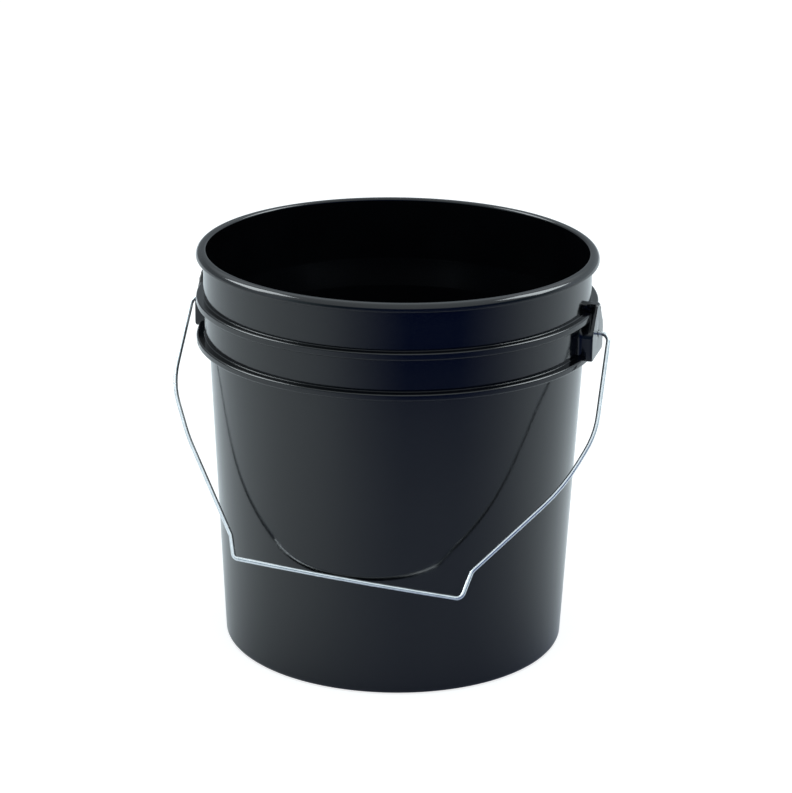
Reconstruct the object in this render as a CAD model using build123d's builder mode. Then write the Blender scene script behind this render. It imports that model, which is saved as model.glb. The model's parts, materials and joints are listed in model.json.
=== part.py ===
from build123d import *
import os
from math import asin, atan, cos, degrees, pi, radians, sin

# A one-gallon wash bucket: a moulded black pail with two hollow bail ears, and a bent wire bail.
# Millimetres and degrees. +Z is up and the origin is on the floor, at the centre of the base.
# +X runs through the right ear, and the bail hangs down against the -Y side.
os.makedirs("parts", exist_ok=True)

# Driving dimensions of the pail
rim_diameter = 190.5
height = 193.5
base_diameter = 164.0
wall = 1.6
floor_thickness = 1.9
foot_height = 2.2
foot_width = 5.0

# The collar round the top: two ribs, a band above each, and the rolled lip
lower_rib_z = 148.6
upper_rib_z = 167.5
rib_height = 3.3
upper_rib_height = 3.6
rib_radius = 95.3
lower_band_radius = 91.5
upper_band_radius = 91.9
neck_radius = 89.3
lip_height = 3.7
lip_top_round = 2.9
lip_bottom_round = 0.6
rib_round = 0.9
inside_corner = 0.3
heel_round = 2.4
mouth_round = 1.2
mouth_flare = 0.2

# Inside corners of the bore, and the rounding and relief under the floor
bore_floor_round = 4.0
bore_step_height = 14.0
bore_step_round = 8.0
foot_round = 0.8
gate_radius = 9.0
gate_depth = 0.6
ring_radius = 46.0
ring_width = 3.0

# Ears
ear_width = 25.6
ear_face_x = 97.3
ear_wall = 1.7
ear_bottom_z = 149.1
ear_shoulder_z = 162.0
ear_top_z = 174.4
ear_top_width = 5.6
ear_root_x = 80.0
ear_foot_round = 2.5
ear_shoulder_round = 6.0
ear_crown_round = 2.0
ear_edge_round = 0.8
web_width = 6.4

# Bail
wire_diameter = 2.1
hole_diameter = 3.2
pivot_z = 160.0
arm_x = 102.6
hook_x = 93.5
hook_length = 5.2
hook_bend = 2.1
pivot_bend = 4.0
hang_gap = 0.45
grip_drop = 133.8
grip_bend = 1900.0
# Corners of the wire form on each side, from the elbow down to the grip: how far out and how far
# down from the pivot line. The wire is bent a little out of true, with its right arm the longer.
left_corners = [(102.8, 46.0), (89.5, 72.0), (58.3, 118.5), (54.6, 129.3)]
right_corners = [(104.0, 50.5), (93.5, 77.5), (58.0, 122.8), (55.4, 136.2)]
corner_bends = [45.0, 90.0, 5.0, 3.2]

# Worked out from the dimensions above
rim_radius = rim_diameter / 2
base_radius = base_diameter / 2
floor_z = foot_height + floor_thickness
taper = (neck_radius - base_radius) / lower_rib_z


def wall_radius(z):
    """Outer radius of the tapered wall below the ribs."""
    return base_radius + taper * z


def near(sketch, radius, z):
    """The corner of a section that is nearest to a radius and a height."""
    return sketch.vertices().sort_by_distance((radius, z, 0))[0]


# %% The pail's outside, filled in: the shell is cut from it and the ears are fitted to it
outside = [
    (0, 0),
    (base_radius, 0),
    (neck_radius, lower_rib_z),
    (rib_radius, lower_rib_z),
    (rib_radius, lower_rib_z + rib_height),
    (lower_band_radius, lower_rib_z + rib_height),
    (lower_band_radius, upper_rib_z),
    (rib_radius, upper_rib_z),
    (rib_radius, upper_rib_z + upper_rib_height),
    (upper_band_radius, upper_rib_z + upper_rib_height),
    (upper_band_radius, height - lip_height),
    (rim_radius, height - lip_height),
    (rim_radius, height),
    (0, height),
]
with BuildPart() as envelope:
    with BuildSketch(Plane.XZ) as section:
        with BuildLine():
            Polyline(*outside, close=True)
        make_face()
        fillet(near(section.sketch_local, base_radius, 0), heel_round)
        for corner in outside[3:5] + outside[7:9]:
            fillet(near(section.sketch_local, *corner), rib_round)
        for corner in [outside[2]] + outside[5:7] + outside[9:11]:
            fillet(near(section.sketch_local, *corner), inside_corner)
        fillet(near(section.sketch_local, *outside[11]), lip_bottom_round)
        fillet(near(section.sketch_local, *outside[12]), lip_top_round)
    revolve(axis=Axis.Z)

# %% The space inside: a tapered bore that widens by a gentle slope behind the lower band
inside = [
    (0, floor_z),
    (wall_radius(floor_z) - wall, floor_z),
    (neck_radius - wall, lower_rib_z),
    (lower_band_radius - wall, lower_rib_z + bore_step_height),
    (upper_band_radius - wall, height - lip_height),
    (upper_band_radius - wall + mouth_flare, height + 1),
    (0, height + 1),
]
with BuildPart() as bore:
    with BuildSketch(Plane.XZ) as section:
        with BuildLine():
            Polyline(*inside, close=True)
        make_face()
        fillet(near(section.sketch_local, *inside[1]), bore_floor_round)
        fillet(near(section.sketch_local, *inside[2]), bore_step_round)
        fillet(near(section.sketch_local, *inside[3]), bore_step_round)
    revolve(axis=Axis.Z)

# %% Pail shell: wall, ribs, lip, floor and foot ring, with a gate well under the floor
with BuildPart() as pail_shell:
    add(envelope.part)
    add(bore.part, mode=Mode.SUBTRACT)
    with BuildSketch():
        Circle(base_radius - foot_width)
    extrude(amount=foot_height, mode=Mode.SUBTRACT)
    with BuildSketch(Plane.XY.offset(foot_height)):
        Circle(gate_radius)
    extrude(amount=gate_depth, mode=Mode.SUBTRACT)
    with BuildSketch(Plane.XY.offset(foot_height)):
        Circle(ring_radius)
        Circle(ring_radius - ring_width, mode=Mode.SUBTRACT)
    extrude(amount=-gate_depth)
    circles = pail_shell.edges().filter_by(GeomType.CIRCLE).group_by(Axis.Z)
    fillet(circles[-1].sort_by(SortBy.RADIUS)[0], mouth_round)
    fillet(circles[0].sort_by(SortBy.RADIUS)[0], foot_round)
pail_shell.part.label = "pail_shell"

# %% Right ear: a face plate with a narrow peak, on walls that leave it hollow for the wire's hook.
# Above the upper rib the plate stands clear of the pail, but for a web behind its peak
ear_outline = [
    (-ear_width / 2, ear_bottom_z),
    (ear_width / 2, ear_bottom_z),
    (ear_width / 2, ear_shoulder_z),
    (ear_top_width / 2, ear_top_z),
    (-ear_top_width / 2, ear_top_z),
    (-ear_width / 2, ear_shoulder_z),
]
ear_rounds = [
    ear_foot_round, ear_foot_round, ear_shoulder_round,
    ear_crown_round, ear_crown_round, ear_shoulder_round,
]
with BuildPart() as right_ear:
    with BuildSketch(Plane.YZ.offset(ear_root_x)) as outline:
        with BuildLine():
            Polyline(*ear_outline, close=True)
        make_face()
        for (y, z), corner_round in zip(ear_outline, ear_rounds):
            fillet(near(outline.sketch_local, y, z), corner_round)
    extrude(amount=ear_face_x - ear_root_x)
    fillet(right_ear.faces().sort_by(Axis.X)[-1].edges(), ear_edge_round)
    pocket_depth = ear_face_x - ear_wall - ear_root_x
    with BuildSketch(Plane.YZ.offset(ear_root_x)):
        add(outline.sketch_local)
        offset(amount=-ear_wall, mode=Mode.REPLACE)
        with Locations((0, upper_rib_z)):
            Rectangle(ear_width, ear_width, align=(Align.CENTER, Align.MIN), mode=Mode.SUBTRACT)
    extrude(amount=pocket_depth, mode=Mode.SUBTRACT)
    with BuildSketch(Plane.YZ.offset(ear_root_x)):
        with Locations((0, upper_rib_z + upper_rib_height)):
            Rectangle(ear_width, ear_width, align=(Align.CENTER, Align.MIN))
            Rectangle(web_width, ear_width, align=(Align.CENTER, Align.MIN), mode=Mode.SUBTRACT)
    extrude(amount=pocket_depth, mode=Mode.SUBTRACT)
    with BuildSketch(Plane.YZ.offset(ear_root_x)):
        with Locations((0, pivot_z)):
            Circle(hole_diameter / 2)
    extrude(amount=2 * pocket_depth, mode=Mode.SUBTRACT)
    add(envelope.part, mode=Mode.SUBTRACT)
right_ear.part.label = "right_ear"

# %% Left ear: the right ear's mirror image
with BuildPart() as left_ear:
    mirror(right_ear.part, about=Plane.YZ)
left_ear.part.label = "left_ear"

# %% Bail: one wire, bent in one plane, that hangs from the pivot line with its grip against the wall
lean = atan(taper)
reach = wall_radius(pivot_z) + wire_diameter / 2 + hang_gap
hang_angle = degrees(asin(reach / grip_drop * cos(lean)) - lean)


def side_points(corners, side):
    """The wire's corners on one side, from the hook's tip to the corner of the grip."""
    top = [(hook_x, hook_length), (hook_x, 0), (arm_x, 0)]
    return [(side * x, y) for x, y in top] + [(side * x, -down) for x, down in corners]


left = side_points(left_corners, -1)
right = side_points(right_corners, 1)
side_bends = [hook_bend, pivot_bend] + corner_bends
bail_plane = Plane(
    origin=(0, 0, pivot_z),
    x_dir=(1, 0, 0),
    z_dir=(0, -cos(radians(hang_angle)), sin(radians(hang_angle))),
)
with BuildPart() as bail:
    with BuildLine(bail_plane) as wire:
        form = left + [(0, -grip_drop)] + right[::-1]
        FilletPolyline(*form, radius=side_bends + [grip_bend] + side_bends[::-1])
    with BuildSketch(Plane(origin=wire.line @ 0, z_dir=wire.line % 0)):
        Circle(wire_diameter / 2)
    sweep(path=wire.line)
bail.part.label = "bail"

print(f"hang angle {hang_angle:.2f} degrees, swing {360 - 2 * hang_angle:.2f} degrees")
wire_area = pi * wire_diameter**2 / 4
wire_length = sum(edge.length for edge in wire.edges())
print(f"wire length {wire_length:.1f} mm, volume over section {bail.part.volume / wire_area:.1f} mm")

for piece in (pail_shell, right_ear, left_ear, bail):
    export_step(piece.part, f"parts/{piece.part.label}.step")
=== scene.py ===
# %% [markdown]
# # A black wash bucket, built around its engineering model
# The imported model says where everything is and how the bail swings. This lesson rebuilds the pail,
# its two ears and its wire bail as clean meshes in that same frame, paints them, and lights them.
# The frame has to be loaded first, because every piece rides on one of its bodies.

# %% Load the frame and keep its box
import json
from math import ceil, cos, degrees, radians, sin, sqrt, tan

import bmesh
import bpy
from mathutils import Matrix, Quaternion, Vector


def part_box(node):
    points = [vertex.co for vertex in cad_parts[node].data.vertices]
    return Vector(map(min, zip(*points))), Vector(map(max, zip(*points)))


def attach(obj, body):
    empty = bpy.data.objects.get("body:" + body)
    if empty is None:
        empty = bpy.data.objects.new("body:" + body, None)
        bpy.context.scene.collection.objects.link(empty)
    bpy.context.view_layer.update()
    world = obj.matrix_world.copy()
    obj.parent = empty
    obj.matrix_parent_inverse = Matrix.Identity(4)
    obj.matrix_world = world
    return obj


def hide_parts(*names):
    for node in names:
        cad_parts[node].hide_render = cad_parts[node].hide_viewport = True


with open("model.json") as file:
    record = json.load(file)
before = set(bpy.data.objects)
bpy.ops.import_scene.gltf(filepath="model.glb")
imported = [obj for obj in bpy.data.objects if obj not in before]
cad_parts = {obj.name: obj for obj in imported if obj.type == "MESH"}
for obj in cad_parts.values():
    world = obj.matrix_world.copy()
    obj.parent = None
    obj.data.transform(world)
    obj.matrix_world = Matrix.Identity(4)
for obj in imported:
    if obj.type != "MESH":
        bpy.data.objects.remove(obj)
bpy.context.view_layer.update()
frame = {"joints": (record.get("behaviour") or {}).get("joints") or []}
MM = 0.001

# %% Read the main sizes off the frame
_, shell_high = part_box("pail_shell")
ear_low, ear_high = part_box("right_ear")
height = shell_high.z
rib_radius = shell_high.x
pivot = Vector(frame["joints"][0]["pos_m"])
print(f"height {height:.4f}, rib radius {rib_radius:.4f}, pivot {tuple(pivot)}")

# %% [markdown]
# ## The camera
# A bucket is best seen from well back through a long lens, which keeps its sides nearly parallel,
# and from a little above, so that the eye looks into the mouth. The camera is turned 15 degrees to
# the right of the side that the bail hangs on, which brings one ear to the front.

# %% Place the camera
camera_data = bpy.data.cameras.new("studio_camera")
camera_data.sensor_width = 36.0
camera_data.lens = 125.3
camera_data.clip_end = 60.0
camera = bpy.data.objects.new("studio_camera", camera_data)
bpy.context.scene.collection.objects.link(camera)
camera_place = Vector((0.3252, -1.2136, 0.5449))
camera_target = Vector((0, 0, 0.1189))
camera_roll = radians(0.75)
look = (camera_target - camera_place).to_track_quat("-Z", "Y")
camera.rotation_mode = "QUATERNION"
camera.rotation_quaternion = look @ Quaternion((0, 0, 1), camera_roll)
camera.location = camera_place
bpy.context.scene.camera = camera
print(f"camera {camera_data.lens} mm, {(camera_target - camera_place).length:.3f} m away")

# %% [markdown]
# ## Light for a glossy black object
# Black plastic has next to no colour of its own: what the eye reads is what the gloss mirrors. The
# walls stand nearly upright and are seen from above, so they mirror the floor in front of them. A
# studio shapes that with flags: dark cards that take light away from the middle and leave the two
# sides bright. Here a navy sector of the room does part of it, and a navy card that only the gloss
# sees paints the rest as painted shade in the reflection, so the wall falls from grey at its edges
# to near black just right of the middle.
# The wire faces every way at once, so the room above stays bright to give it something to mirror.

# %% Shared helpers for node trees
view = bpy.context.scene.view_settings
view.view_transform = "Standard"
view.look = "None"


def add_node(tree, kind, **settings):
    """A new node of one kind, with its options set."""
    node = tree.nodes.new(kind)
    for name, value in settings.items():
        setattr(node, name, value)
    return node


def join(tree, source, target):
    """One wire of the node tree, from an output socket to an input socket."""
    tree.links.new(source, target)


def ramp(tree, factor, stops, interpolation="LINEAR"):
    """A colour ramp of grey or coloured stops, as (place, colour), fed by factor."""
    node = add_node(tree, "ShaderNodeValToRGB")
    node.color_ramp.interpolation = interpolation
    elements = node.color_ramp.elements
    while len(elements) > 1:
        elements.remove(elements[-1])
    for number, (place, colour) in enumerate(stops):
        element = elements[0] if number == 0 else elements.new(place)
        element.position = place
        element.color = (*colour, 1) if isinstance(colour, tuple) else (colour, colour, colour, 1)
    join(tree, factor, node.inputs["Fac"])
    return node


# %% The flag's direction
flag_heading = radians(-55)
flag_direction = (cos(flag_heading), sin(flag_heading), 0)


def facing_flag(tree, direction):
    """How nearly a direction, made level, points at the flag: 1 straight at it, 0 away from it."""
    level = add_node(tree, "ShaderNodeVectorMath", operation="MULTIPLY")
    level.inputs[1].default_value = (1, 1, 0)
    join(tree, direction, level.inputs[0])
    unit = add_node(tree, "ShaderNodeVectorMath", operation="NORMALIZE")
    join(tree, level.outputs["Vector"], unit.inputs[0])
    dot = add_node(tree, "ShaderNodeVectorMath", operation="DOT_PRODUCT")
    dot.inputs[1].default_value = flag_direction
    join(tree, unit.outputs["Vector"], dot.inputs[0])
    half = add_node(tree, "ShaderNodeMath", operation="MULTIPLY_ADD")
    half.inputs[1].default_value = 0.5
    half.inputs[2].default_value = 0.5
    join(tree, dot.outputs["Value"], half.inputs[0])
    return half.outputs["Value"]


# %% The room: white above, a dark flag low down in front, and dimmer walls behind
world = bpy.data.worlds.new("white_studio")
world.use_nodes = True
bpy.context.scene.world = world
tree = world.node_tree
tree.nodes.clear()
room_white = (0.86, 1.0, 1.12)
ceiling_white = (0.90, 1.0, 1.06)
flag_navy = (0.004, 0.030, 0.18)
room_strength = 0.95
backdrop_strength = 1.05
seen_from = add_node(tree, "ShaderNodeTexCoord")
towards = facing_flag(tree, seen_from.outputs["Generated"])
level_room = ramp(
    tree,
    towards,
    [(0.02, (0.30, 0.34, 0.37)), (0.30, (0.62, 0.71, 0.78)), (0.50, room_white),
     (0.60, (0.42, 0.54, 0.60)), (0.78, (0.09, 0.15, 0.20)), (0.97, flag_navy)],
)
upwards = add_node(tree, "ShaderNodeSeparateXYZ")
join(tree, seen_from.outputs["Generated"], upwards.inputs["Vector"])
above = ramp(tree, upwards.outputs["Z"], [(0.34, 0.0), (0.60, 1.0)], "EASE")
room = add_node(tree, "ShaderNodeMix", data_type="RGBA")
room.inputs[7].default_value = (*ceiling_white, 1)
join(tree, above.outputs["Color"], room.inputs[0])
join(tree, level_room.outputs["Color"], room.inputs[6])
lit = add_node(tree, "ShaderNodeBackground")
lit.inputs["Strength"].default_value = room_strength
join(tree, room.outputs[2], lit.inputs["Color"])
plain = add_node(tree, "ShaderNodeBackground")
plain.inputs["Color"].default_value = (1, 1, 1, 1)
plain.inputs["Strength"].default_value = backdrop_strength
ray = add_node(tree, "ShaderNodeLightPath")
either = add_node(tree, "ShaderNodeMixShader")
join(tree, ray.outputs["Is Camera Ray"], either.inputs[0])
join(tree, lit.outputs["Background"], either.inputs[1])
join(tree, plain.outputs["Background"], either.inputs[2])
output = add_node(tree, "ShaderNodeOutputWorld")
join(tree, either.outputs["Shader"], output.inputs["Surface"])
print("the room is white above, with a navy flag at", round(degrees(flag_heading)), "degrees")


# %% The floor: a wide white sweep, lifted to white for the camera's own rays
def sheet(name, size, z):
    """A flat square centred under the bucket."""
    bm = bmesh.new()
    bmesh.ops.create_grid(bm, x_segments=1, y_segments=1, size=size / 2)
    bmesh.ops.translate(bm, verts=bm.verts, vec=(0, 0, z))
    mesh = bpy.data.meshes.new(name)
    bm.to_mesh(mesh)
    bm.free()
    piece = bpy.data.objects.new(name, mesh)
    bpy.context.scene.collection.objects.link(piece)
    return piece


def new_material(name):
    """An empty node material, with its output node."""
    material = bpy.data.materials.new(name)
    material.use_nodes = True
    material.node_tree.nodes.clear()
    return material, add_node(material.node_tree, "ShaderNodeOutputMaterial")


floor_size, floor_level = 16.0, -0.0002
paper_white, sweep_glow, sweep_share = 0.90, 1.28, 0.62
floor = sheet("floor", floor_size, floor_level)
paper, paper_output = new_material("white_paper")
matte = add_node(paper.node_tree, "ShaderNodeBsdfDiffuse")
matte.inputs["Color"].default_value = (paper_white, paper_white, paper_white, 1)
glow = add_node(paper.node_tree, "ShaderNodeEmission")
glow.inputs["Strength"].default_value = sweep_glow
seen = add_node(paper.node_tree, "ShaderNodeLightPath")
lift = add_node(paper.node_tree, "ShaderNodeMath", operation="MULTIPLY")
lift.inputs[1].default_value = sweep_share
join(paper.node_tree, seen.outputs["Is Camera Ray"], lift.inputs[0])
sweep = add_node(paper.node_tree, "ShaderNodeMixShader")
join(paper.node_tree, lift.outputs["Value"], sweep.inputs[0])
join(paper.node_tree, matte.outputs["BSDF"], sweep.inputs[1])
join(paper.node_tree, glow.outputs["Emission"], sweep.inputs[2])
join(paper.node_tree, sweep.outputs["Shader"], paper_output.inputs["Surface"])
floor.data.materials.append(paper)

# %% The flag's card on the floor, which only the gloss sees: it paints a dark reflection into the pail's walls
card_size, card_level = 8.0, 0.0008
# Painted shade in the reflection: a faintly glowing navy card that only the gloss sees. It darkens
# what the walls mirror in front, while the floor stays white to the camera.
card = sheet("floor_flag", card_size, card_level)
for sense in ("visible_camera", "visible_diffuse", "visible_transmission", "visible_shadow"):
    setattr(card, sense, False)
reflection_shade, reflection_shade_output = new_material("painted_reflection_shade")
tree = reflection_shade.node_tree
place = add_node(tree, "ShaderNodeTexCoord")
sideways = ramp(
    tree,
    facing_flag(tree, place.outputs["Object"]),
    [(0.40, 0.0), (0.62, 0.17), (0.72, 0.29), (0.80, 0.46), (0.86, 0.64), (0.915, 0.80),
     (0.985, 1.0)],
)
distance = add_node(tree, "ShaderNodeVectorMath", operation="LENGTH")
join(tree, place.outputs["Object"], distance.inputs[0])
outwards = ramp(
    tree,
    distance.outputs["Value"],
    [(0.09, 0.60), (0.28, 0.68), (0.43, 0.82), (0.51, 0.92), (0.57, 0.97), (0.70, 1.0)],
)
cover = add_node(tree, "ShaderNodeMath", operation="MULTIPLY")
join(tree, sideways.outputs["Color"], cover.inputs[0])
join(tree, outwards.outputs["Color"], cover.inputs[1])
clear = add_node(tree, "ShaderNodeBsdfTransparent")
# The faint navy glow where the card covers is the painted dark reflection that the walls show.
dark = add_node(tree, "ShaderNodeEmission")
dark.inputs["Color"].default_value = (*flag_navy, 1)
covering = add_node(tree, "ShaderNodeMixShader")
join(tree, cover.outputs["Value"], covering.inputs[0])
join(tree, clear.outputs["BSDF"], covering.inputs[1])
join(tree, dark.outputs["Emission"], covering.inputs[2])
join(tree, covering.outputs["Shader"], reflection_shade_output.inputs["Surface"])
card.data.materials.append(reflection_shade)


# %% Softboxes for the highlights on the lip and the ribs
def softbox(name, heading, elevation, distance, size, power, target=(0, 0, 0.15)):
    """A softbox at a heading (degrees from +X) and an elevation, aimed at the bucket."""
    data = bpy.data.lights.new(name, "AREA")
    data.shape = "RECTANGLE"
    data.size, data.size_y = size
    data.energy = power
    lamp = bpy.data.objects.new(name, data)
    bpy.context.scene.collection.objects.link(lamp)
    flat = cos(radians(elevation)) * distance
    target = Vector(target)
    lamp.location = target + Vector((
        flat * cos(radians(heading)),
        flat * sin(radians(heading)),
        distance * sin(radians(elevation)),
    ))
    lamp.rotation_mode = "QUATERNION"
    lamp.rotation_quaternion = (target - lamp.location).to_track_quat("-Z", "Y")
    lamp.visible_camera = False
    return lamp


box_elevation, box_distance, box_size, box_power = 42, 2.4, (1.2, 1.3), 34
box_tint, overhead_tint = (0.90, 0.97, 1.0), (0.84, 0.97, 1.0)
left_box = softbox("left_softbox", -180, box_elevation, box_distance, box_size, box_power)
right_box = softbox("right_softbox", 30, box_elevation, box_distance, box_size, box_power)
for lamp in (left_box, right_box):
    lamp.visible_diffuse = False
    lamp.data.color = box_tint
overhead = softbox("overhead_softbox", -75, 80, 2.6, (2.2, 2.2), 32)
overhead.visible_glossy = False
overhead.data.color = overhead_tint
print("softboxes", [lamp.name for lamp in (left_box, right_box, overhead)])

# %% [markdown]
# ## Finishes
# The pail is black polyethylene straight from a polished mould: nearly mirror smooth, with the very
# fine orange peel that the plastic takes on as it cools, a slow wave in the wall, and faint marks
# from stacking. The wire is bright zinc over drawn steel. Both have fine marks in their gloss, so
# those are node groups, built once and placed in each material with values of its own.


# %% A group for fine grain: a height to bump and a patchiness to roughen
def start_group(name, inputs, outputs):
    """A shader node group with named sockets, each (name, kind, default)."""
    group = bpy.data.node_groups.new(name, "ShaderNodeTree")
    for socket, kind, value in inputs:
        made = group.interface.new_socket(socket, in_out="INPUT", socket_type=kind)
        if value is not None:
            made.default_value = value
    for socket, kind in outputs:
        group.interface.new_socket(socket, in_out="OUTPUT", socket_type=kind)
    return group, add_node(group, "NodeGroupInput"), add_node(group, "NodeGroupOutput")


FLOAT, VECTOR = "NodeSocketFloat", "NodeSocketVector"
grain, sockets, results = start_group(
    "fine grain",
    [("Vector", VECTOR, None), ("Fine Scale", FLOAT, 900.0), ("Wave Scale", FLOAT, 40.0),
     ("Wave Share", FLOAT, 0.5)],
    [("Height", FLOAT), ("Patches", FLOAT)],
)
fine = add_node(grain, "ShaderNodeTexNoise")
fine.inputs["Detail"].default_value = 2.0
fine.inputs["Roughness"].default_value = 0.55
join(grain, sockets.outputs["Vector"], fine.inputs["Vector"])
join(grain, sockets.outputs["Fine Scale"], fine.inputs["Scale"])
wave = add_node(grain, "ShaderNodeTexNoise")
wave.inputs["Detail"].default_value = 3.0
join(grain, sockets.outputs["Vector"], wave.inputs["Vector"])
join(grain, sockets.outputs["Wave Scale"], wave.inputs["Scale"])
blend = add_node(grain, "ShaderNodeMix", data_type="FLOAT")
join(grain, sockets.outputs["Wave Share"], blend.inputs[0])
join(grain, fine.outputs["Fac"], blend.inputs[2])
join(grain, wave.outputs["Fac"], blend.inputs[3])
join(grain, blend.outputs[0], results.inputs["Height"])
join(grain, wave.outputs["Fac"], results.inputs["Patches"])

# %% A group for handling marks: long hairline rubs, broken up by a coarser noise
rubs, sockets, results = start_group(
    "handling marks",
    [("Vector", VECTOR, None), ("Scale", FLOAT, 60.0), ("Amount", FLOAT, 0.5)],
    [("Marks", FLOAT)],
)
hairs = add_node(rubs, "ShaderNodeTexNoise")
hairs.inputs["Detail"].default_value = 4.0
hairs.inputs["Roughness"].default_value = 0.7
hairs.inputs["Distortion"].default_value = 0.3
join(rubs, sockets.outputs["Vector"], hairs.inputs["Vector"])
join(rubs, sockets.outputs["Scale"], hairs.inputs["Scale"])
thin = ramp(rubs, hairs.outputs["Fac"], [(0.60, 0.0), (0.64, 1.0), (0.68, 0.0)])
broken = add_node(rubs, "ShaderNodeTexNoise")
broken.inputs["Scale"].default_value = 25.0
join(rubs, sockets.outputs["Vector"], broken.inputs["Vector"])
some = ramp(rubs, broken.outputs["Fac"], [(0.50, 0.0), (0.62, 1.0)])
both = add_node(rubs, "ShaderNodeMath", operation="MULTIPLY")
join(rubs, thin.outputs["Color"], both.inputs[0])
join(rubs, some.outputs["Color"], both.inputs[1])
amount = add_node(rubs, "ShaderNodeMath", operation="MULTIPLY")
join(rubs, both.outputs["Value"], amount.inputs[0])
join(rubs, sockets.outputs["Amount"], amount.inputs[1])
join(rubs, amount.outputs["Value"], results.inputs["Marks"])
print("node groups", [group.name for group in bpy.data.node_groups])


# %% Black moulded polyethylene
def place_group(tree, group, vector, **values):
    """One copy of a node group in a material, with its values set by name."""
    node = add_node(tree, "ShaderNodeGroup", node_tree=group)
    join(tree, vector, node.inputs["Vector"])
    for name, value in values.items():
        node.inputs[name.replace("_", " ")].default_value = value
    return node


def multiply_add(tree, value, factor, offset):
    """value times factor plus offset."""
    node = add_node(tree, "ShaderNodeMath", operation="MULTIPLY_ADD")
    node.inputs[1].default_value = factor
    node.inputs[2].default_value = offset
    join(tree, value, node.inputs[0])
    return node.outputs["Value"]


def add_values(tree, first, second):
    """The sum of two values."""
    node = add_node(tree, "ShaderNodeMath", operation="ADD")
    join(tree, first, node.inputs[0])
    join(tree, second, node.inputs[1])
    return node.outputs["Value"]


black_hdpe, plastic_output = new_material("black_moulded_polyethylene")
tree = black_hdpe.node_tree
gloss = add_node(tree, "ShaderNodeBsdfPrincipled")
gloss.inputs["IOR"].default_value = 1.54
spot = add_node(tree, "ShaderNodeTexCoord")
around = add_node(tree, "ShaderNodeMapping")
around.inputs["Scale"].default_value = (1.0, 1.0, 14.0)
join(tree, spot.outputs["Object"], around.inputs["Vector"])
peel = place_group(
    tree, grain, spot.outputs["Object"], Fine_Scale=1100.0, Wave_Scale=30.0, Wave_Share=0.6,
)
stacking = place_group(tree, rubs, around.outputs["Vector"], Scale=45.0, Amount=0.10)
darkest_black, palest_black = (0.0016, 0.0018, 0.0023), (0.0024, 0.0027, 0.0033)
tint = ramp(tree, peel.outputs["Patches"], [(0.35, darkest_black), (0.65, palest_black)])
join(tree, tint.outputs["Color"], gloss.inputs["Base Color"])
patchy = multiply_add(tree, peel.outputs["Patches"], 0.05, 0.085)
join(tree, add_values(tree, patchy, stacking.outputs["Marks"]), gloss.inputs["Roughness"])
skin = add_node(tree, "ShaderNodeBump")
skin.inputs["Strength"].default_value = 0.12
skin.inputs["Distance"].default_value = 0.00025
join(tree, peel.outputs["Height"], skin.inputs["Height"])
join(tree, skin.outputs["Normal"], gloss.inputs["Normal"])
join(tree, gloss.outputs["BSDF"], plastic_output.inputs["Surface"])

# %% Bright zinc over drawn wire
zinc_wire, wire_output = new_material("bright_zinc_wire")
tree = zinc_wire.node_tree
metal = add_node(tree, "ShaderNodeBsdfPrincipled")
metal.inputs["IOR"].default_value = 1.8
spot = add_node(tree, "ShaderNodeTexCoord")
spangle = place_group(
    tree, grain, spot.outputs["Object"], Fine_Scale=2600.0, Wave_Scale=220.0, Wave_Share=0.4,
)
drawn = place_group(tree, rubs, spot.outputs["Object"], Scale=900.0, Amount=0.15)
dull_zinc, bright_zinc = (0.76, 0.79, 0.80), (0.86, 0.89, 0.90)
tone = ramp(tree, spangle.outputs["Patches"], [(0.35, dull_zinc), (0.65, bright_zinc)])
join(tree, tone.outputs["Color"], metal.inputs["Base Color"])
join(tree, multiply_add(tree, spangle.outputs["Patches"], -0.1, 1.0), metal.inputs["Metallic"])
dull = multiply_add(tree, spangle.outputs["Patches"], 0.14, 0.14)
join(tree, add_values(tree, dull, drawn.outputs["Marks"]), metal.inputs["Roughness"])
skin = add_node(tree, "ShaderNodeBump")
skin.inputs["Strength"].default_value = 0.25
skin.inputs["Distance"].default_value = 0.0001
join(tree, spangle.outputs["Height"], skin.inputs["Height"])
join(tree, skin.outputs["Normal"], metal.inputs["Normal"])
join(tree, metal.outputs["BSDF"], wire_output.inputs["Surface"])
print("materials", black_hdpe.name, zinc_wire.name)

# %% [markdown]
# ## The pail
# The real pail is one injection moulding, and everything on it but its ears is round. It could be
# modelled as a cylinder with loop cuts, but a section that is spun round the axis is truer: the
# section is what the mould maker draws. Each corner of the section is rounded with a vertex bevel
# before the spin, so the ribs and the lip catch a thin line of light as real ones do. The two
# halves of the mould also leave a hairline where they part, so that is scored up both bands.


# %% Turn a bmesh into a piece
def finish_piece(name, bm, material, body, slot, *nodes):
    """Makes a smooth-shaded object of a closed bmesh, which rides in place of its CAD nodes."""
    bmesh.ops.recalc_face_normals(bm, faces=bm.faces)
    mesh = bpy.data.meshes.new(name)
    bm.to_mesh(mesh)
    bm.free()
    mesh.shade_smooth()
    mesh.materials.append(material)
    piece = bpy.data.objects.new(name, mesh)
    bpy.context.scene.collection.objects.link(piece)
    level = piece.modifiers.new("flat_faces_stay_flat", "WEIGHTED_NORMAL")
    level.keep_sharp = True
    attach(piece, body)
    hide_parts(*nodes)
    print(f"{name}: {len(mesh.vertices)} vertices, {len(mesh.polygons)} faces")


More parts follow.
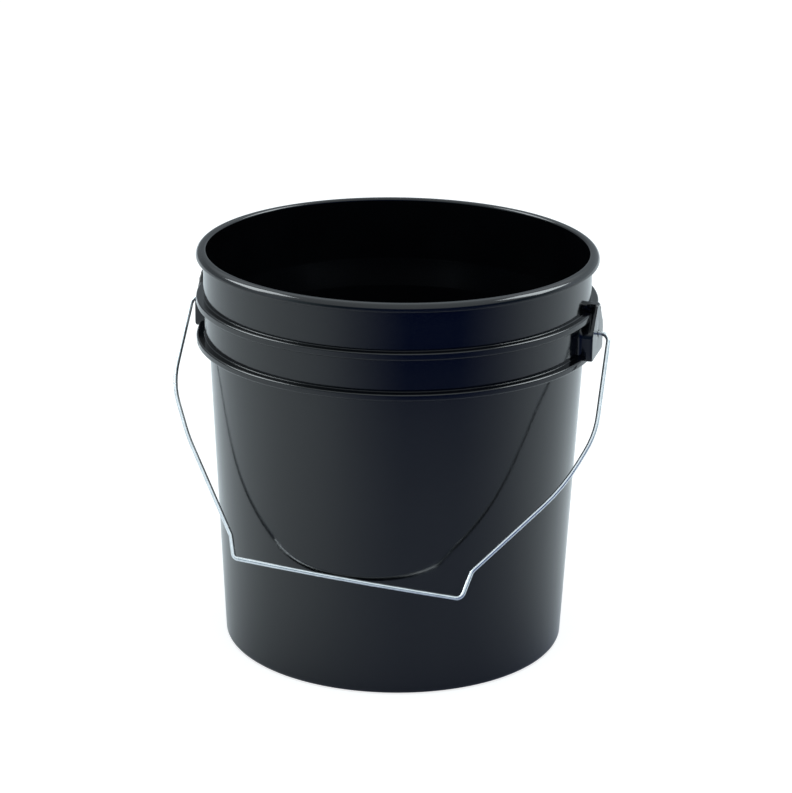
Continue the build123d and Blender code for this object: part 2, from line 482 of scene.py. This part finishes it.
# %% The section of the pail, in millimetres: radius, height and corner round
foot = 2.2
floor_top = 4.1
base_radius = 82.0
foot_inside = 77.0
gate, ring_inside, ring_outside = 9.0, 43.0, 46.0
lower_rib, upper_rib = 148.6, 167.5
lower_rib_height, upper_rib_height, lip = 3.3, 3.6, 3.7
neck, lower_band, upper_band = 89.3, 91.5, 91.9
rib, rim, top = rib_radius / MM, 95.25, height / MM
wall = 1.6
slope = (neck - base_radius) / lower_rib
section = [
    (0.0, 2.45, 0), (1.3, 2.45, 0.2), (1.5, 2.8, 0.2), (gate, 2.8, 0.3), (gate, foot, 0.2),
    (ring_inside, foot, 0.2), (ring_inside + 0.2, 1.6, 0.2),
    (ring_outside - 0.2, 1.6, 0.2), (ring_outside, foot, 0.2),
    (foot_inside, foot, 0.5), (foot_inside, 0.0, 0.8), (base_radius, 0.0, 2.4),
    (neck, lower_rib, 0.3), (rib, lower_rib, 0.9), (rib, lower_rib + lower_rib_height, 0.9),
    (lower_band, lower_rib + lower_rib_height, 0.3), (lower_band, upper_rib, 0.3),
    (rib, upper_rib, 0.9), (rib, upper_rib + upper_rib_height, 0.9),
    (upper_band, upper_rib + upper_rib_height, 0.3),
    (upper_band, top - lip, 0.8), (rim, top - lip, 0.6), (rim, top, 2.9),
    (upper_band - wall + 0.15, top, 1.2), (upper_band - wall, top - lip, 0),
    (lower_band - wall, lower_rib + 14.0, 8.0), (neck - wall, lower_rib, 8.0),
    (base_radius + slope * floor_top - wall, floor_top, 4.0), (0.0, floor_top, 0),
]
print(len(section), "corners in the section")


# %% Spin the section
def add_path(bm, points):
    """Vertices in a row with an edge between each two."""
    verts = [bm.verts.new(point) for point in points]
    for first, second in zip(verts, verts[1:]):
        bm.edges.new((first, second))
    return verts


def round_corners(bm, corners, rounds, segments):
    """Bevels each corner of a path to an arc of its own radius."""
    for corner, radius in zip(corners, rounds):
        if not radius:
            continue
        first, second = [edge.other_vert(corner).co - corner.co for edge in corner.link_edges]
        reach = radius * MM / tan(first.angle(second) / 2)
        bmesh.ops.bevel(
            bm, geom=[corner], offset=reach, offset_type="OFFSET", segments=segments,
            profile=0.5, affect="VERTICES", material=-1,
        )


turns = 288
bm = bmesh.new()
corners = add_path(bm, [(radius * MM, 0, z * MM) for radius, z, _ in section])
round_corners(bm, corners, [corner[2] for corner in section], 6)
bmesh.ops.spin(
    bm, geom=bm.verts[:] + bm.edges[:], cent=(0, 0, 0), axis=(0, 0, 1), angle=radians(360),
    steps=turns, use_merge=True, use_duplicate=False,
)
bmesh.ops.remove_doubles(bm, verts=bm.verts, dist=1e-6)


# %% Score the mould's parting line up both bands
def score_seam(bm, heading, low, high, depth):
    """Cuts a hairline groove into the outside of a band, along its height."""
    out = Vector((cos(heading), sin(heading), 0))
    across = Vector((-out.y, out.x, 0))
    outer_side = (lower_band - 0.4) * MM
    for offset in (-0.30, -0.12, 0.12, 0.30):
        faces = [
            face for face in bm.faces
            if low < face.calc_center_median().z < high
            and face.calc_center_median().dot(out) > outer_side
        ]
        edges = list({edge for face in faces for edge in face.edges})
        verts = list({vert for face in faces for vert in face.verts})
        bmesh.ops.bisect_plane(
            bm, geom=verts + edges + faces, plane_co=across * offset * MM, plane_no=across,
        )
    groove = [
        vert for vert in bm.verts
        if low < vert.co.z < high and abs(vert.co.dot(across)) < 0.2 * MM
        and vert.co.dot(out) > outer_side
    ]
    bmesh.ops.translate(bm, verts=groove, vec=-out * depth)
    return len(groove)


seam_heading, seam_depth = radians(-137), 0.14 * MM
for low, high in ((lower_rib + 4.2, upper_rib - 0.9), (upper_rib + 4.5, top - 4.6)):
    moved = score_seam(bm, seam_heading, low * MM, high * MM, seam_depth)
    print("seam vertices moved", moved)
finish_piece("pail", bm, black_hdpe, "pail", "black_hdpe", "pail_shell")

# %% [markdown]
# ## The ears
# Each ear is a flat plate with a narrow peak that stands off the collar on thin walls. It is hollow
# inside for the hooked end of the wire, and above the upper rib only a web behind the peak ties it
# to the pail. The plate starts as two loops, its outline and the hole, bridged to a ring of faces.
# Planes cut that ring where the hollow and the web begin, and the parts that are wall are extruded
# back into the pail and flared where they meet it.

# %% The plate's outline, with its hole
ear_face, ear_side = ear_high.x, ear_high.y
ear_bottom, ear_top = ear_low.z, ear_high.z
ear_shoulder = 0.162
ear_crown = 2.8 * MM
ear_wall = 1.7 * MM
ear_root = 90.4 * MM
web_side = 3.2 * MM
face_round, root_fillet = 0.8 * MM, 2.0 * MM
slot_floor = (upper_rib + upper_rib_height) * MM
pocket_floor, pocket_roof = ear_bottom + ear_wall, upper_rib * MM
hole_radius = 1.6 * MM
slant = Vector((0, ear_top - ear_shoulder, ear_side - ear_crown)).normalized()


def ear_plate():
    """The face of an ear as a ring of faces between its outline and the hole."""
    bm = bmesh.new()
    outline = [
        (-ear_side, ear_bottom), (ear_side, ear_bottom), (ear_side, ear_shoulder),
        (ear_crown, ear_top), (-ear_crown, ear_top), (-ear_side, ear_shoulder),
    ]
    corners = add_path(bm, [(ear_face, y, z) for y, z in outline])
    bm.edges.new((corners[-1], corners[0]))
    round_corners(bm, corners, [2.5, 2.5, 6.0, 2.0, 2.0, 6.0], 6)
    sides = [edge for edge in bm.edges if edge.calc_length() > 2 * MM]
    bmesh.ops.subdivide_edges(bm, edges=sides, cuts=3)
    turn = Matrix.Translation((ear_face, 0, pivot.z)) @ Matrix.Rotation(radians(90), 4, "Y")
    bmesh.ops.create_circle(bm, segments=32, radius=hole_radius, matrix=turn)
    bmesh.ops.bridge_loops(bm, edges=bm.edges[:])
    return bm


# %% Cut the plate, thicken it and draw its walls back to the pail
def move(verts, x):
    """Puts vertices on the plane at x."""
    for vert in verts:
        vert.co.x = x


def draw_back(bm, faces, x):
    """Extrudes faces and leaves the new ones on the plane at x."""
    made = bmesh.ops.extrude_face_region(bm, geom=faces)["geom"]
    move([part for part in made if isinstance(part, bmesh.types.BMVert)], x)
    return [part for part in made if isinstance(part, bmesh.types.BMFace)]


def cut(bm, place, facing):
    """Cuts every face that a plane crosses."""
    geom = bm.verts[:] + bm.edges[:] + bm.faces[:]
    bmesh.ops.bisect_plane(bm, geom=geom, plane_co=place, plane_no=facing)


def is_wall(middle):
    """Whether the plate has a wall behind it at a place."""
    side = abs(middle.y)
    below_slant = (side - ear_side) * slant.y + (middle.z - ear_shoulder) * slant.z < -ear_wall
    hollow = pocket_floor < middle.z < pocket_roof and side < ear_side - ear_wall and below_slant
    return not hollow and not (middle.z > slot_floor and side > web_side)


def build_ear():
    """The whole right ear as a closed mesh."""
    bm = ear_plate()
    for level in (slot_floor, pocket_floor, pocket_roof):
        cut(bm, (0, 0, level), (0, 0, 1))
    for hand in (-1, 1):
        for side in (web_side, ear_side - ear_wall):
            cut(bm, (0, hand * side, 0), (0, 1, 0))
        facing = Vector((0, hand * slant.y, slant.z))
        cut(bm, Vector((0, hand * ear_side, ear_shoulder)) - facing * ear_wall, facing)
    back = draw_back(bm, bm.faces[:], ear_face - ear_wall)
    draw_back(bm, [face for face in back if is_wall(face.calc_center_median())], ear_root)
    bmesh.ops.remove_doubles(bm, verts=bm.verts, dist=1e-6)
    return bm


def soften_face(bm, width):
    """Rounds the edge between the plate's face and its sides."""
    rim = [
        edge for edge in bm.edges
        if len(edge.link_faces) == 2 and edge.calc_face_angle() > radians(60)
        and all(vert.co.x > ear_face - 1e-6 for vert in edge.verts)
        and (edge.verts[0].co - Vector((ear_face, 0, pivot.z))).length > 3 * MM
    ]
    bmesh.ops.bevel(
        bm, geom=rim, offset=width, offset_type="OFFSET", segments=4, profile=0.5,
        affect="EDGES", material=-1,
    )


def flare_root(bm, radius):
    """Flares the walls where they meet the pail, as the fillet in the mould does."""
    turns = [radians(angle) for angle in (0, 25, 50, 70)]
    for turn in turns:
        cut(bm, (ear_root + radius * (1 - sin(turn)), 0, 0), (1, 0, 0))
    bm.normal_update()
    outward = {
        vert: Vector((0, vert.normal.y, 0)).normalized() for vert in bm.verts
        if vert.co.x < ear_root + radius and abs(vert.normal.y) > 0.3
    }
    for vert, direction in outward.items():
        inward = min(1.0, (ear_root + radius - vert.co.x) / radius)
        vert.co += direction * radius * (1 - sqrt(1 - inward * inward))


bm = build_ear()
bmesh.ops.recalc_face_normals(bm, faces=bm.faces)
soften_face(bm, face_round)
flare_root(bm, root_fillet)
other = bm.copy()
bmesh.ops.scale(other, vec=(-1, 1, 1), verts=other.verts)
finish_piece("ear_right", bm, black_hdpe, "pail", "black_hdpe", "right_ear")
finish_piece("ear_left", other, black_hdpe, "pail", "black_hdpe", "left_ear")

# %% [markdown]
# ## The bail
# The bail is one length of wire, bent in one plane. A curve with a round bevel could stand for it,
# but its bends would need many control points. Here the wire is made as a bender makes it: a ring
# of vertices is pushed straight ahead for each run, then spun round the bending pin at each corner.

# %% The wire's corners, across and down from the pivot line, in millimetres, with their bends
wire_radius = 1.05 * MM
hang = radians(40.19)
hook = [(93.5, -5.2), (93.5, 0.0), (102.6, 0.0)]
left_corners = [(102.8, 46.0), (89.5, 72.0), (58.3, 118.5), (54.6, 129.3)]
right_corners = [(104.0, 50.5), (93.5, 77.5), (58.0, 122.8), (55.4, 136.2)]
side_bends = [2.1, 4.0, 45.0, 90.0, 5.0, 3.2]
grip_middle, grip_bend = (0.0, 133.8), 1900.0


def hung(across, down):
    """A point of the wire's plane, as the bail hangs against the front of the pail."""
    return pivot + Vector((across, -down * sin(hang), -down * cos(hang))) * MM


left = [hung(-across, down) for across, down in hook + left_corners]
right = [hung(across, down) for across, down in hook + right_corners]
wire_points = left + [hung(*grip_middle)] + right[::-1]
wire_bends = side_bends + [grip_bend] + side_bends[::-1]
print(len(wire_points), "points on the wire")


# %% Bend the wire
def only(kind, parts):
    """The parts that are of one bmesh kind."""
    return [part for part in parts if isinstance(part, kind)]


def push(bm, ring, offset):
    """Extrudes a ring of edges straight ahead and returns the ring at the far end."""
    made = bmesh.ops.extrude_edge_only(bm, edges=ring)["geom"]
    bmesh.ops.translate(bm, verts=only(bmesh.types.BMVert, made), vec=offset)
    return only(bmesh.types.BMEdge, made)


def bend(bm, ring, corner, before, after, radius):
    """Spins a ring round the bending pin at a corner."""
    angle = before.angle(after)
    pin = corner - before * radius * tan(angle / 2)
    pin += (after - before * after.dot(before)).normalized() * radius
    verts = list({vert for edge in ring for vert in edge.verts})
    made = bmesh.ops.spin(
        bm, geom=verts + ring, cent=pin, axis=before.cross(after).normalized(), angle=angle,
        steps=max(3, ceil(degrees(angle) / 5)), use_duplicate=False,
    )
    return only(bmesh.types.BMEdge, made["geom_last"])


def bend_wire(points, bends, radius):
    """A closed mesh of round wire through the points, each corner with its own bend, in mm."""
    bm = bmesh.new()
    heading = (points[1] - points[0]).normalized()
    turn = Matrix.Translation(points[0]) @ heading.to_track_quat("Z", "Y").to_matrix().to_4x4()
    bmesh.ops.create_circle(bm, segments=20, radius=radius, matrix=turn)
    ring, start = bm.edges[:], points[0]
    for corner, following, size in zip(points[1:-1], points[2:], bends):
        after = (following - corner).normalized()
        reach = size * MM * tan(heading.angle(after) / 2)
        ring = push(bm, ring, corner - heading * reach - start)
        ring = bend(bm, ring, corner, heading, after, size * MM)
        start, heading = corner + after * reach, after
    push(bm, ring, points[-1] - start)
    ends = [edge for edge in bm.edges if len(edge.link_faces) == 1]
    bmesh.ops.edgeloop_fill(bm, edges=ends)
    return bm


bm = bend_wire(wire_points, wire_bends, wire_radius)
finish_piece("wire_bail", bm, zinc_wire, "bail", "zinc_wire", "bail")
